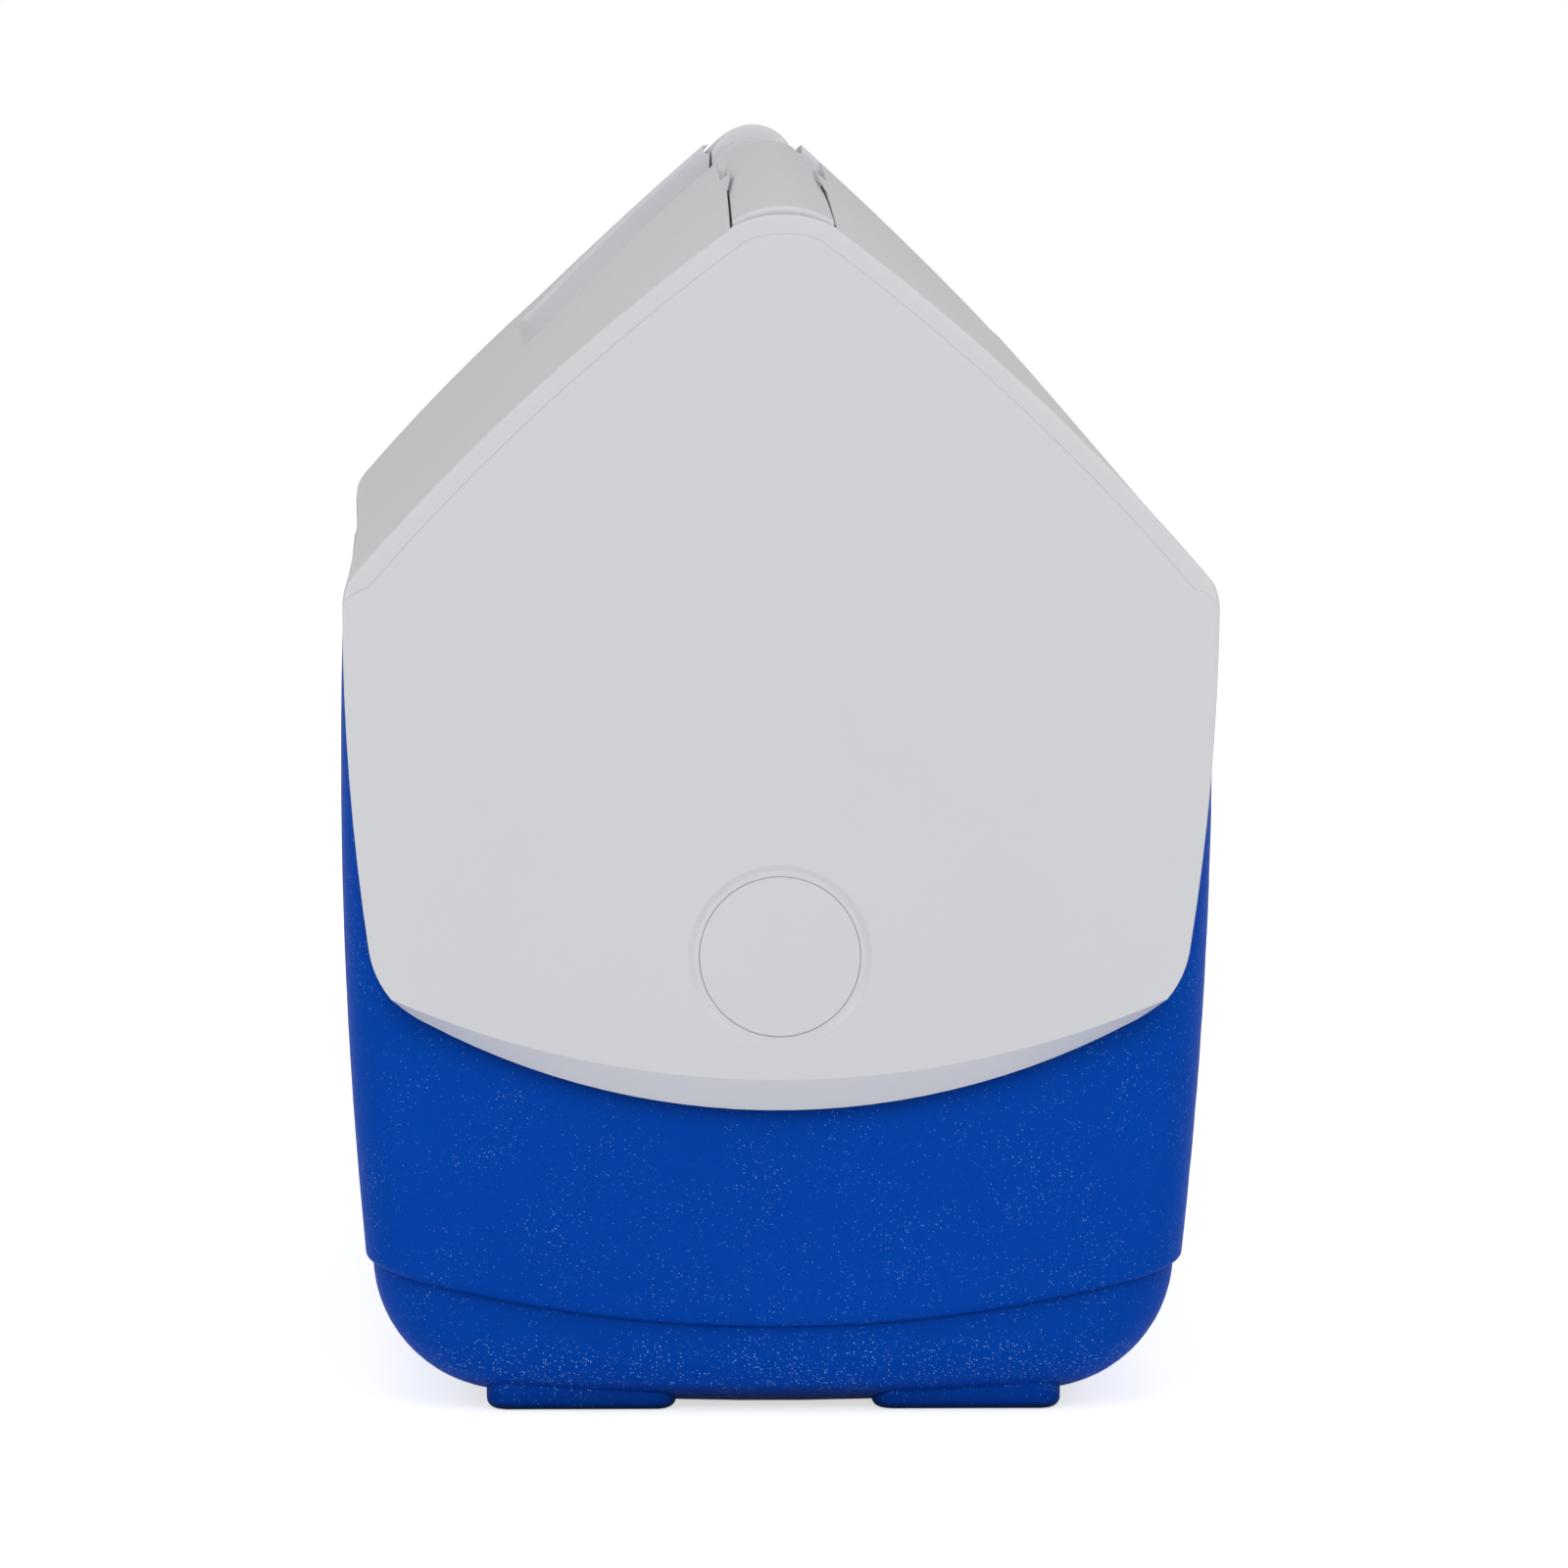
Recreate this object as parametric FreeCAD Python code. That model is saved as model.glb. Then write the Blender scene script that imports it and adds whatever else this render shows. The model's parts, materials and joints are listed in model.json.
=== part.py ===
import FreeCAD, Part
import math
import os

# Cooler chest with a tent-top lid that swings to either side about two hubs
# in its end walls. Millimetres. +Z up, +X across the width, +Y along the
# length; the push button is on the -Y end. The origin is on the floor under
# the middle of the chest.

V = FreeCAD.Vector
os.makedirs("parts", exist_ok=True)

# ---- driving dimensions -------------------------------------------------
LENGTH = 372.0            # over the two end panels
HALF_L = LENGTH / 2.0
PIVOT_Z = 137.0           # height of the lid's swing axis
SWING_DEG = 76.0          # lid swing each way, set by the stop grooves
BUTTON_TRAVEL = 4.0
CLEAR = 0.3               # gap left between separate mouldings
SKIN = 0.5                # overlap of pieces that are fused into one moulding
FAR = 400.0               # longer than anything, for cutting boxes

# chest body
BODY_HALF_W = 126.4       # widest, below the rim
BODY_HALF_L = HALF_L - 9.2    # at the rim
BODY_WIDEST_Z = 190.0
BODY_SIDE_R = 1450.0      # the side walls are gently barrelled
BODY_END_DRAFT = 1.0      # degrees
BODY_CORNER_R = 18.0
SHELL_T = 2.8
RIM_Z = 233.2             # top edge of the outer shell
CAP_SET_BACK = 0.6        # the arched end caps stand back this far from the end walls
CAP_ROOT = 10.0           # and reach down inside the walls this far below the rim
STEP_SMILE_R = 400.0      # the step to the lower tier dips in an arc across each end
STEP_SMILE_Z = 26.3
STEP_ROUND = 3.0
UPPER_VOID_Z = 51.0       # the hollow of the upper tier starts here
TIER_HALF_W = 117.2
TIER_HALF_L = BODY_HALF_L - 6.3
TIER_CORNER_R = 40.0
TIER_END_R = 20.0
TIER_BOTTOM_R = 900.0     # underside sags slightly to the middle
TIER_BOTTOM_Z = 1.2
TIER_TOP_Z = 65.0
FOOT_X = (28.6, 84.0)
FOOT_Y = (94.0, 162.0)
FOOT_TOP_Z = 12.0
FOOT_R = 6.5
FOOT_EDGE_R = 3.0

# insulated walls and the inner tub
CAVITY_FLOOR_Z = 32.0
CAVITY_TOP_HALF = (108.5, 156.5)
CAVITY_LOW_HALF = (98.0, 145.5)
CAVITY_CORNER_R = 20.0
CAVITY_BASE_R = 8.0
LINER_T = 2.0
FLANGE_T = 2.4
FLANGE_Z = 235.8
ARCH_R = 158.8            # top of the arched end caps, about the pivot
FLANGE_INSET = 8.5        # along the sides the flange stands in from the rounded rim
CAP_FLANGE_INSET = 1.5    # and over the arched caps it reaches nearly to the edge
RIM_ROUND = 6.0
RIM_LIP = 11.0            # the shell turns in under the flange by this much

# lid
VAULT_R = 160.0           # inside of the lid's vault, about the pivot
VAULT_T = 2.2
VAULT_SEAT_HALF = 117.0   # half width of the roof's hollow above the vault
VAULT_END_GAP = 0.6       # the vault stops this far inside the roof's ends
SEAT_HALF = 112.0         # half width of the vault's end flanges
LID_FOAM_HALF = 106.0
VOID_BELOW = 20.0         # the roof's hollow is cut from this far under the eaves
ROOF_HALF = HALF_L - 3.3
ROOF_T = 2.4
APEX_Z = 350.3            # ridge height at the ends
APEX_HALF = 14.0
APEX_DROP = 3.2
RIDGE_RISE = 15.8         # the ridge arches up to the middle
EAVE_X = 125.4
EAVE_Z = 243.6            # where the slope would meet the upright skirt
EAVE_TANGENT = 3.4        # from that corner to each end of its rounding
EAVE_INSET = 1.4          # the eaves bow in to the middle
EAVE_BOTTOM_Z = 239.0
SLOPE_BOW = 4.1           # outward bow of each slope at the ends
SLOPE_BOW_MID = -0.3      # added at the middle
SLOPE_TOP_DEG = 36.6
SLOPE_END_DEG = 48.7
RECESS_HALF_L = 61.5
RECESS_FLOOR_Z = 304.5
LIP_R = 1.4               # rounding of the recess's edges
CHANNEL_HALF = 15.4
CHANNEL_FLOOR_Z = 333.0
CHANNEL_GAP = 0.35
FLARE_Y = 106.0           # from here to the recess a ledge widens the channel
FLARE_DEPTH = 7.0         # this far below the ridge

# handle
HANDLE_STEP = 2.0         # stands this far above the ridge
BLOCK_HALF = (14.5, 12.8)  # half width at the ends and by the grip
BLOCK_DROP = (4.4, 8.8)    # fall of the rounded top at its edges
BLOCK_EDGE_R = 1.4
GRIP_HALF = 12.6
GRIP_LOWER = 4.4          # the grip is straight, this far below the blocks' inner ends
GRIP_DROP = 8.2           # fall of its rounded top at the sides
GRIP_SEAM = 8.8           # the cover starts this far below the crown
GRIP_DEPTH = 20.0
COVER_T = 2.6
HANDLE_WALL = 3.0

# end panels
PANEL_T = 3.0
SKIRT_DEPTH = 8.7
SKIRT_T = 2.8
PANEL_SIDE_LOW = (118.0, 138.5)
PANEL_SIDE_MID = (123.3, 184.0)
PANEL_SIDE_TOP = (125.6, 238.6)
PANEL_EAVE_Z = 243.4      # where the panel's slope would meet its side
PANEL_EAVE_BOW = 0.82     # bulge of the rounding between the two
PANEL_LOW_MID = (113.2, 126.8)
PANEL_LOW_X = 101.0       # the lower edge's arc ends here, where the corner starts
PANEL_LOW_Z = 91.5
PANEL_LOW_R = 215.0
PANEL_EDGE_R = 1.2
BEVEL_Z = 101.3           # the face turns in to the lower edge along a flatter arc
BEVEL_R = 277.0
BEVEL_DEPTH = 6.8
BEVEL_WALL = 4.1          # height of plastic kept above the bevel
BORDER_INSET = 5.4
BORDER_STEP = 0.2         # fine step at the border's inner edge
BORDER_BACK = 0.8

# button, well and hub, all centred on the swing axis
BUTTON_R = 23.2
WELL_R = BUTTON_R + 0.1
WELL_WALL_R = 25.4
DISH_R = 26.4
DISH_SLOPE = 1.5          # run of the dish's sloping edge for each mm of depth
DISH_DEPTH = 1.1
DISH_UP = 0.3
DOME = 0.55
BUTTON_EDGE_R = 0.4
BUTTON_WALL = 2.0
STEM_R = 6.5
STEM_BORE_R = 1.6
SPIGOT_R = 14.0
RING_BORE_R = 14.06
RING_R = 18.0
HUB_R = 40.0
HUB_WALL = 4.0            # the shell's boss stands this far outside the hub
HUB_BORE_R = 9.6
LEDGE_BORE_R = 7.0
CHAMBER_R = 12.0
NECK_R = 19.7
GROOVE_R = 32.0
GROOVE_HALF = 3.2
GROOVE_DEPTH = 4.0
PIN_R = 2.8
COLLAR_R = 10.4
POCKET_R = 10.8
POCKET_DEPTH = 1.5
LUG_HALF = 2.6

# stations along Y, measured from the middle of the chest outwards
HUB_FACE = HALF_L - 11.5
HUB_BACK = HUB_FACE - 5.4
SPIGOT_END = HUB_FACE + 4.3
WEB_OUT = HUB_FACE + 4.0
WEB_IN = HUB_FACE + 1.0
LEDGE_OUT = HUB_FACE - 6.0
LEDGE_IN = LEDGE_OUT - 2.5
CHAMBER_IN = HUB_FACE - 17.7
PLUG_IN = CHAMBER_IN - 2.0
BOSS_IN = HUB_FACE - 9.0
BUTTON_BACK = HUB_FACE + 8.9
COLLAR_OUT = LEDGE_IN - 0.6
COLLAR_IN = COLLAR_OUT - 2.5
SCREW_HEAD_IN = COLLAR_IN - 1.5
PANEL_SEAT = HUB_FACE + 2.6   # the vault's end flanges meet the panels' bosses here
SEAT_FLANGE_T = 2.0

# fasteners
HUB_SCREW_RING_R = 24.5
SCREW_SHANK_R = 2.0
SCREW_HOLE_R = 2.1
SCREW_HEAD_R = 3.4
SCREW_HEAD_T = 1.8
HEAD_SINK_R = 3.6
HEAD_SINK = 2.2
CROSS_HALF = 2.0          # half length and half width of a cross recess
CROSS_HALF_W = 0.5
PANEL_BOSS_R = 4.5
PANEL_SCREWS = ((58.0, 298.0), (28.0, 313.0))
PANEL_SCREW_GRIP = 4.8
HANDLE_SCREW_Y = (92.0, 152.0)
HANDLE_SCREW_GRIP = 10.0
HANDLE_POST_R = 5.0


# ---- small helpers ------------------------------------------------------
def box(x0, x1, y0, y1, z0, z1):
    return Part.makeBox(x1 - x0, y1 - y0, z1 - z0, V(x0, y0, z0))


def slab(half_x, half_y, z0, z1):
    return box(-half_x, half_x, -half_y, half_y, z0, z1)


def cyl_y(radius, y0, y1, x=0.0, z=PIVOT_Z):
    low = min(y0, y1)
    return Part.makeCylinder(radius, abs(y1 - y0), V(x, low, z), V(0, 1, 0))


def cyl_z(radius, z0, z1, x, y):
    return Part.makeCylinder(radius, z1 - z0, V(x, y, z0))


def ring_y(outer, inner, y0, y1):
    return cyl_y(outer, y0, y1).cut(cyl_y(inner, y0, y1))


def union(shapes):
    first = shapes[0]
    if len(shapes) == 1:
        return first
    return first.fuse(shapes[1:]).removeSplitter()


def both_ends(shape):
    """The shape and its copy mirrored to the other end."""
    return [shape, shape.mirror(V(0, 0, 0), V(0, 1, 0))]


def to_back(shape):
    return shape.mirror(V(0, 0, 0), V(0, 1, 0))


def arc(a, b, c):
    return Part.Arc(V(*a), V(*b), V(*c)).toShape()


def line(a, b):
    return Part.makeLine(V(*a), V(*b))


def bowed(a, b, bow):
    """Arc from a to b in an XZ plane, bulging away from the pivot by bow."""
    dx = b[0] - a[0]
    dz = b[2] - a[2]
    length = math.hypot(dx, dz)
    nx = -dz / length
    nz = dx / length
    middle = ((a[0] + b[0]) / 2.0, (a[2] + b[2]) / 2.0)
    outward = nx * middle[0] + nz * (middle[1] - PIVOT_Z)
    side = 1.0 if outward > 0 else -1.0
    peak = (middle[0] + side * bow * nx, a[1], middle[1] + side * bow * nz)
    return arc(a, peak, b)


def extrude_y(edges, y0, y1):
    """Closed outline drawn at y0, pulled to y1."""
    face = Part.Face(Part.Wire(Part.__sortEdges__(edges)))
    return face.extrude(V(0, y1 - y0, 0))


def rounded_rect(half_x, half_y, radius, z):
    """Closed plan outline with rounded corners."""
    bend = radius * (1.0 - math.sqrt(0.5))
    edges = []
    corners = ((1, 1), (-1, 1), (-1, -1), (1, -1))
    for i, (sx, sy) in enumerate(corners):
        along_x = V(sx * (half_x - radius), sy * half_y, z)
        along_y = V(sx * half_x, sy * (half_y - radius), z)
        middle = V(sx * (half_x - bend), sy * (half_y - bend), z)
        first, last = (along_y, along_x) if sx * sy > 0 else (along_x, along_y)
        edges.append(Part.Arc(first, middle, last).toShape())
        nx, ny = corners[(i + 1) % 4]
        if nx == sx:
            following = V(nx * half_x, ny * (half_y - radius), z)
        else:
            following = V(nx * (half_x - radius), ny * half_y, z)
        edges.append(Part.makeLine(last, following))
    return Part.Wire(edges)


def loft(wires, ruled=False):
    return Part.makeLoft(wires, True, ruled)


def export(name, shape):
    solids = shape.Solids
    clean = solids[0] if len(solids) == 1 else Part.makeCompound(solids)
    clean.exportStep("parts/%s.step" % name)
    size = clean.BoundBox
    print("%-16s solids %2d valid %s vol %9.0f  X %.1f..%.1f Y %.1f..%.1f Z %.1f..%.1f" % (
        name, len(solids), clean.isValid(), clean.Volume, size.XMin, size.XMax,
        size.YMin, size.YMax, size.ZMin, size.ZMax))


# ---- chest body ---------------------------------------------------------
def body_half_w(z):
    """Half width of the barrelled side walls at height z."""
    drop = BODY_WIDEST_Z - z
    return BODY_HALF_W - drop * drop / (2.0 * BODY_SIDE_R)


def body_half_l(z):
    return BODY_HALF_L - (RIM_Z - z) * math.tan(math.radians(BODY_END_DRAFT))


def upper_tier(inset, z0, z1):
    """Upper body between two heights, drawn in by inset."""
    levels = [z0 + (z1 - z0) * i / 4.0 for i in range(5)]
    wires = [
        rounded_rect(body_half_w(z) - inset, body_half_l(z) - inset,
                     BODY_CORNER_R - inset, z)
        for z in levels
    ]
    return loft(wires)


def lower_tier(inset):
    """Lower body: one end outline pulled along Y, then its ends rounded."""
    half = TIER_HALF_W - inset
    corner = TIER_CORNER_R - inset
    bottom_r = TIER_BOTTOM_R - inset
    centre_z = TIER_BOTTOM_Z + TIER_BOTTOM_R
    # the corner arc touches the side wall and the sagging underside
    reach = bottom_r - corner
    cx = half - corner
    cz = centre_z - math.sqrt(reach * reach - cx * cx)
    fx = cx * bottom_r / reach
    fz = centre_z - math.sqrt(bottom_r * bottom_r - fx * fx)
    bisect = math.atan2(fz - cz, fx - cx) / 2.0
    mx = cx + corner * math.cos(bisect)
    mz = cz + corner * math.sin(bisect)
    y0 = -(TIER_HALF_L - inset)
    edges = [
        line((half, y0, TIER_TOP_Z), (half, y0, cz)),
        arc((half, y0, cz), (mx, y0, mz), (fx, y0, fz)),
        arc((fx, y0, fz), (0, y0, centre_z - bottom_r), (-fx, y0, fz)),
        arc((-fx, y0, fz), (-mx, y0, mz), (-half, y0, cz)),
        line((-half, y0, cz), (-half, y0, TIER_TOP_Z)),
        line((-half, y0, TIER_TOP_Z), (half, y0, TIER_TOP_Z)),
    ]
    tier = extrude_y(edges, y0, -y0)
    rim = [
        e for e in tier.Edges
        if e.BoundBox.YLength < 0.01 and e.BoundBox.ZMin < TIER_TOP_Z - 1.0
    ]
    return tier.makeFillet(TIER_END_R - inset, rim)


def foot(sx, sy):
    x0, x1 = sorted((sx * FOOT_X[0], sx * FOOT_X[1]))
    y0, y1 = sorted((sy * FOOT_Y[0], sy * FOOT_Y[1]))
    pad = box(x0, x1, y0, y1, 0.0, FOOT_TOP_Z)
    upright = [e for e in pad.Edges if e.BoundBox.ZLength > FOOT_TOP_Z - 0.1]
    pad = pad.makeFillet(FOOT_R, upright)
    lowest = [e for e in pad.Edges if e.BoundBox.ZMax < 0.01]
    return pad.makeFillet(FOOT_EDGE_R, lowest)


def plan_prism(inset, z0, z1):
    wire = rounded_rect(body_half_w(RIM_Z) - inset, BODY_HALF_L - inset,
                        BODY_CORNER_R - inset, z0)
    return Part.Face(wire).extrude(V(0, 0, z1 - z0))


def end_arches(arch_r, inset, z0):
    """The arched caps of both end walls, from z0 up."""
    arch = plan_prism(inset, z0, PIVOT_Z + arch_r + 1.0)
    arch = arch.common(cyl_y(arch_r, -FAR, FAR))
    return arch.cut(slab(FAR, CAVITY_TOP_HALF[1], z0 - 1.0, FAR))


def rim_envelope(arch_r, side_z, inset, z0):
    """Everything under the side rims and under the arched end caps."""
    return union([plan_prism(inset, z0, side_z), end_arches(arch_r, inset, z0)])


def cavity(grow, z0):
    """The tub's inside, or its outside when grown by the wall."""
    low = rounded_rect(CAVITY_LOW_HALF[0] + grow, CAVITY_LOW_HALF[1] + grow,
                       CAVITY_CORNER_R + grow, z0)
    top = rounded_rect(CAVITY_TOP_HALF[0] + grow, CAVITY_TOP_HALF[1] + grow,
                       CAVITY_CORNER_R + grow, FLANGE_Z)
    straight = Part.Face(top).extrude(V(0, 0, PIVOT_Z + ARCH_R - FLANGE_Z + 2.0))
    tub = loft([low, top], True)
    base = [e for e in tub.Edges if e.BoundBox.ZMax < z0 + 0.01]
    tub = tub.makeFillet(CAVITY_BASE_R + grow, base)
    return tub, straight


def body_shell():
    upper = upper_tier(0.0, STEP_SMILE_Z - 5.0, RIM_Z)
    smile = cyl_y(STEP_SMILE_R, -FAR, FAR, 0.0, STEP_SMILE_Z + STEP_SMILE_R)
    upper = upper.common(smile)
    step_edges = [e for e in upper.Edges if e.BoundBox.ZMax < UPPER_VOID_Z]
    upper = upper.makeFillet(STEP_ROUND, step_edges)
    rim_edges = [
        e for e in upper.Edges
        if e.BoundBox.ZMin > RIM_Z - 0.1 and e.BoundBox.YLength > e.BoundBox.XLength
    ]
    upper = upper.makeFillet(RIM_ROUND, rim_edges)
    arches = end_arches(ARCH_R - FLANGE_T - 0.1, CAP_SET_BACK, RIM_Z - CAP_ROOT)
    feet = [foot(sx, sy) for sx in (-1, 1) for sy in (-1, 1)]
    outer = union([upper, lower_tier(0.0), arches] + feet)
    shell = outer.cut(union([upper_tier(SHELL_T, UPPER_VOID_Z, RIM_Z - SHELL_T), lower_tier(SHELL_T)]))
    mouth_x = BODY_HALF_W - RIM_LIP
    over_ends = plan_prism(SHELL_T + CAP_SET_BACK, RIM_Z - CAP_ROOT + 5.0, FAR)
    over_ends = over_ends.cut(slab(FAR, CAVITY_TOP_HALF[1], 0.0, FAR))
    shell = shell.cut(over_ends).cut(slab(mouth_x, CAVITY_TOP_HALF[1] + 1.0, RIM_Z - 2 * SHELL_T, FAR))
    boss = cyl_y(HUB_R + HUB_WALL, -FAR, -BOSS_IN)
    boss = boss.common(upper_tier(SKIN, TIER_TOP_Z, RIM_Z))
    pocket = union([cyl_y(HUB_R + CLEAR, -FAR, -HUB_BACK),
                    cyl_y(NECK_R + CLEAR, -FAR, -PLUG_IN)]
                   + [cyl_y(SCREW_HOLE_R, -HUB_FACE, -PLUG_IN, x, z) for x, z in hub_screw_spots()])
    shell = union([shell] + both_ends(boss))
    for cutter in both_ends(pocket):
        shell = shell.cut(cutter)
    return shell


def hub_screw_spots():
    step = HUB_SCREW_RING_R * math.sqrt(0.5)
    return [(sx * step, PIVOT_Z + sz * step) for sx in (-1, 1) for sz in (-1, 1)]


def body_liner():
    outer_tub, outer_top = cavity(LINER_T, CAVITY_FLOOR_Z - LINER_T)
    inner_tub, inner_top = cavity(0.0, CAVITY_FLOOR_Z)
    flange_root = RIM_Z - 2 * CAP_ROOT
    flange = union([plan_prism(FLANGE_INSET, flange_root, FLANGE_Z),
                    end_arches(ARCH_R, CAP_FLANGE_INSET, flange_root)])
    walls = union([outer_tub, outer_top]).common(
        union([plan_prism(SHELL_T, 0.0, RIM_Z - CAP_ROOT), flange]))
    under = rim_envelope(ARCH_R - FLANGE_T, FLANGE_Z - FLANGE_T, 0.0, RIM_Z - 3 * CAP_ROOT)
    flange = flange.cut(under)
    liner = union([walls, flange])
    return liner.cut(inner_tub).cut(inner_top)


def body_foam():
    inset = SHELL_T + CLEAR
    arches = end_arches(ARCH_R - FLANGE_T - 0.5, inset + CAP_SET_BACK, RIM_Z - CAP_ROOT)
    upper = upper_tier(inset, UPPER_VOID_Z + 0.5, RIM_Z - SHELL_T - CLEAR)
    block = union([upper, lower_tier(inset), arches])
    tub, top = cavity(LINER_T + CLEAR, CAVITY_FLOOR_Z - LINER_T - CLEAR)
    block = block.cut(tub).cut(top)
    keep_out = union([cyl_y(HUB_R + HUB_WALL + CLEAR, -FAR, -(BOSS_IN - CLEAR)),
                      cyl_y(NECK_R + 2 * CLEAR, -FAR, -(PLUG_IN - CLEAR))])
    for cutter in both_ends(keep_out):
        block = block.cut(cutter)
    return block


# ---- hubs ---------------------------------------------------------------
def groove():
    """Arc groove that the lid's stop pin runs in, with round ends."""
    half = math.radians(SWING_DEG)
    depth = (-FAR, -(HUB_FACE - GROOVE_DEPTH))
    band = ring_y(GROOVE_R + GROOVE_HALF, GROOVE_R - GROOVE_HALF, *depth)
    tip_x = FAR * math.sin(half)
    tip_z = PIVOT_Z + FAR * math.cos(half)
    sector = Part.Face(Part.makePolygon([
        V(0, -FAR, PIVOT_Z), V(-tip_x, -FAR, tip_z), V(-tip_x, -FAR, tip_z + FAR),
        V(tip_x, -FAR, tip_z + FAR), V(tip_x, -FAR, tip_z), V(0, -FAR, PIVOT_Z),
    ])).extrude(V(0, FAR, 0))
    band = band.common(sector)
    ends = [
        cyl_y(GROOVE_HALF, depth[0], depth[1], side * GROOVE_R * math.sin(half),
              PIVOT_Z + GROOVE_R * math.cos(half))
        for side in (-1, 1)
    ]
    return union([band] + ends)


def hub_blank():
    disc = cyl_y(HUB_R, -HUB_FACE, -HUB_BACK)
    spigot = cyl_y(SPIGOT_R, -SPIGOT_END, -HUB_FACE + 1.0)
    neck = cyl_y(NECK_R, -HUB_BACK - 1.0, -PLUG_IN)
    hub = union([disc, spigot, neck]).cut(groove())
    for x, z in hub_screw_spots():
        hub = hub.cut(cyl_y(SCREW_HOLE_R, -HUB_FACE - 1, -HUB_BACK + 1, x, z))
        hub = hub.cut(cyl_y(HEAD_SINK_R, -HUB_FACE - 1, -HUB_FACE + HEAD_SINK, x, z))
    return hub


def front_hub():
    hub = hub_blank()
    hub = hub.cut(cyl_y(HUB_BORE_R, -FAR, -LEDGE_OUT))
    hub = hub.cut(cyl_y(LEDGE_BORE_R, -FAR, -LEDGE_IN))
    hub = hub.cut(cyl_y(CHAMBER_R, -LEDGE_IN, -PLUG_IN + 1.0))
    pockets = box(-POCKET_R, POCKET_R, -LEDGE_IN - POCKET_DEPTH, -LEDGE_IN + 0.5,
                  PIVOT_Z - LUG_HALF - 0.4, PIVOT_Z + LUG_HALF + 0.4)
    return hub.cut(pockets.common(cyl_y(POCKET_R, -FAR, 0.0)))


def rear_hub():
    hub = hub_blank().cut(cyl_y(HUB_BORE_R, -FAR, -LEDGE_OUT))
    return to_back(hub)


def hub_plug():
    return cyl_y(CHAMBER_R - 0.05, -CHAMBER_IN, -PLUG_IN)


def pan_screw(x, z, head_y, tip_y):
    """Screw along Y: pan head against head_y, shank on to tip_y."""
    way = 1.0 if tip_y > head_y else -1.0
    top = head_y - way * SCREW_HEAD_T
    head = cyl_y(SCREW_HEAD_R, top, head_y, x, z)
    shank = cyl_y(SCREW_SHANK_R, head_y, tip_y, x, z)
    y0, y1 = sorted((top, top + way * SCREW_HEAD_T / 2.0))
    flat = box(x - CROSS_HALF, x + CROSS_HALF, y0, y1, z - CROSS_HALF_W, z + CROSS_HALF_W)
    upright = box(x - CROSS_HALF_W, x + CROSS_HALF_W, y0, y1, z - CROSS_HALF, z + CROSS_HALF)
    return union([head, shank]).cut(flat).cut(upright)


def hub_screws():
    screws = []
    for x, z in hub_screw_spots():
        screws += both_ends(pan_screw(x, z, -(HUB_FACE - HEAD_SINK), -(BOSS_IN + CLEAR)))
    return Part.makeCompound(screws)


def return_spring():
    """Coil around the button's stem, between the hub's ledge and the button."""
    wire_r = 0.5
    mean_r = 8.2
    turns = 6.0
    length = BUTTON_BACK - LEDGE_OUT - 2 * CLEAR - 2 * wire_r
    helix = Part.makeHelix(length / turns, length, mean_r)
    start = V(mean_r, 0, 0)
    profile = Part.Wire(Part.makeCircle(wire_r, start, V(0, 1, 0)))
    coil = helix.makePipeShell([profile], True, True)
    coil.rotate(V(0, 0, 0), V(1, 0, 0), -90.0)
    coil.translate(V(0, -(BUTTON_BACK - CLEAR) + wire_r, PIVOT_Z))
    return coil


# ---- lid ----------------------------------------------------------------
def arch_share(y):
    """1 at the middle of the roof, 0 at its ends."""
    return 1.0 - (y / ROOF_HALF) ** 2


def ridge_z(y):
    return APEX_Z + RIDGE_RISE * arch_share(y)


def eave_x(y):
    return EAVE_X - EAVE_INSET * arch_share(y)


def eave_corner(x, z, tangent):
    """Start, middle and end, as (x, z), of the arc that rounds the corner
    between a slope that falls at SLOPE_END_DEG and the upright below it."""
    fall = math.radians(SLOPE_END_DEG)
    half_turn = (math.pi / 2.0 - fall) / 2.0
    radius = tangent / math.tan(half_turn)
    inward = radius * (1.0 / math.cos(half_turn) - 1.0)
    start = (x - tangent * math.cos(fall), z + tangent * math.sin(fall))
    middle = (x - inward * math.cos(half_turn), z - inward * math.sin(half_turn))
    return start, middle, (x, z - tangent)


def roof_section(y, inset, bottom):
    """Section of the roof at station y, drawn in by inset."""
    start = math.radians(SLOPE_TOP_DEG)
    end = math.radians(SLOPE_END_DEG)
    top = ridge_z(y) - inset
    px = APEX_HALF - inset * math.sin(start)
    pz = ridge_z(y) - APEX_DROP - inset * math.cos(start)
    ex = eave_x(y) - inset
    ez = EAVE_Z - inset * math.tan((math.pi / 2.0 - end) / 2.0)
    (ax, az), (mx, mz), (bx, bz) = eave_corner(ex, ez, EAVE_TANGENT)
    bow = SLOPE_BOW + SLOPE_BOW_MID * arch_share(y)
    return Part.Wire([
        bowed((-ax, y, az), (-px, y, pz), bow),
        arc((-px, y, pz), (0, y, top), (px, y, pz)),
        bowed((px, y, pz), (ax, y, az), bow),
        arc((ax, y, az), (mx, y, mz), (bx, y, bz)),
        line((bx, y, bz), (bx, y, bottom)),
        line((bx, y, bottom), (-bx, y, bottom)),
        line((-bx, y, bottom), (-bx, y, bz)),
        arc((-bx, y, bz), (-mx, y, mz), (-ax, y, az)),
    ])


def roof_solid(inset, bottom, half):
    stations = [-1.0, -0.82, -0.6, -0.3, 0.0, 0.3, 0.6, 0.82, 1.0]
    return loft([roof_section(s * half, inset, bottom) for s in stations])


def grooves(wall, gap):
    """The recess across the roof and the handle's channel, grown by a wall
    and a gap, as one cutter."""
    grow = wall + gap
    recess = slab(FAR, RECESS_HALF_L + grow, RECESS_FLOOR_Z - grow, FAR)
    channel = slab(CHANNEL_HALF + grow, FAR, CHANNEL_FLOOR_Z - grow, FAR)
    return union([recess, channel])


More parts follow.
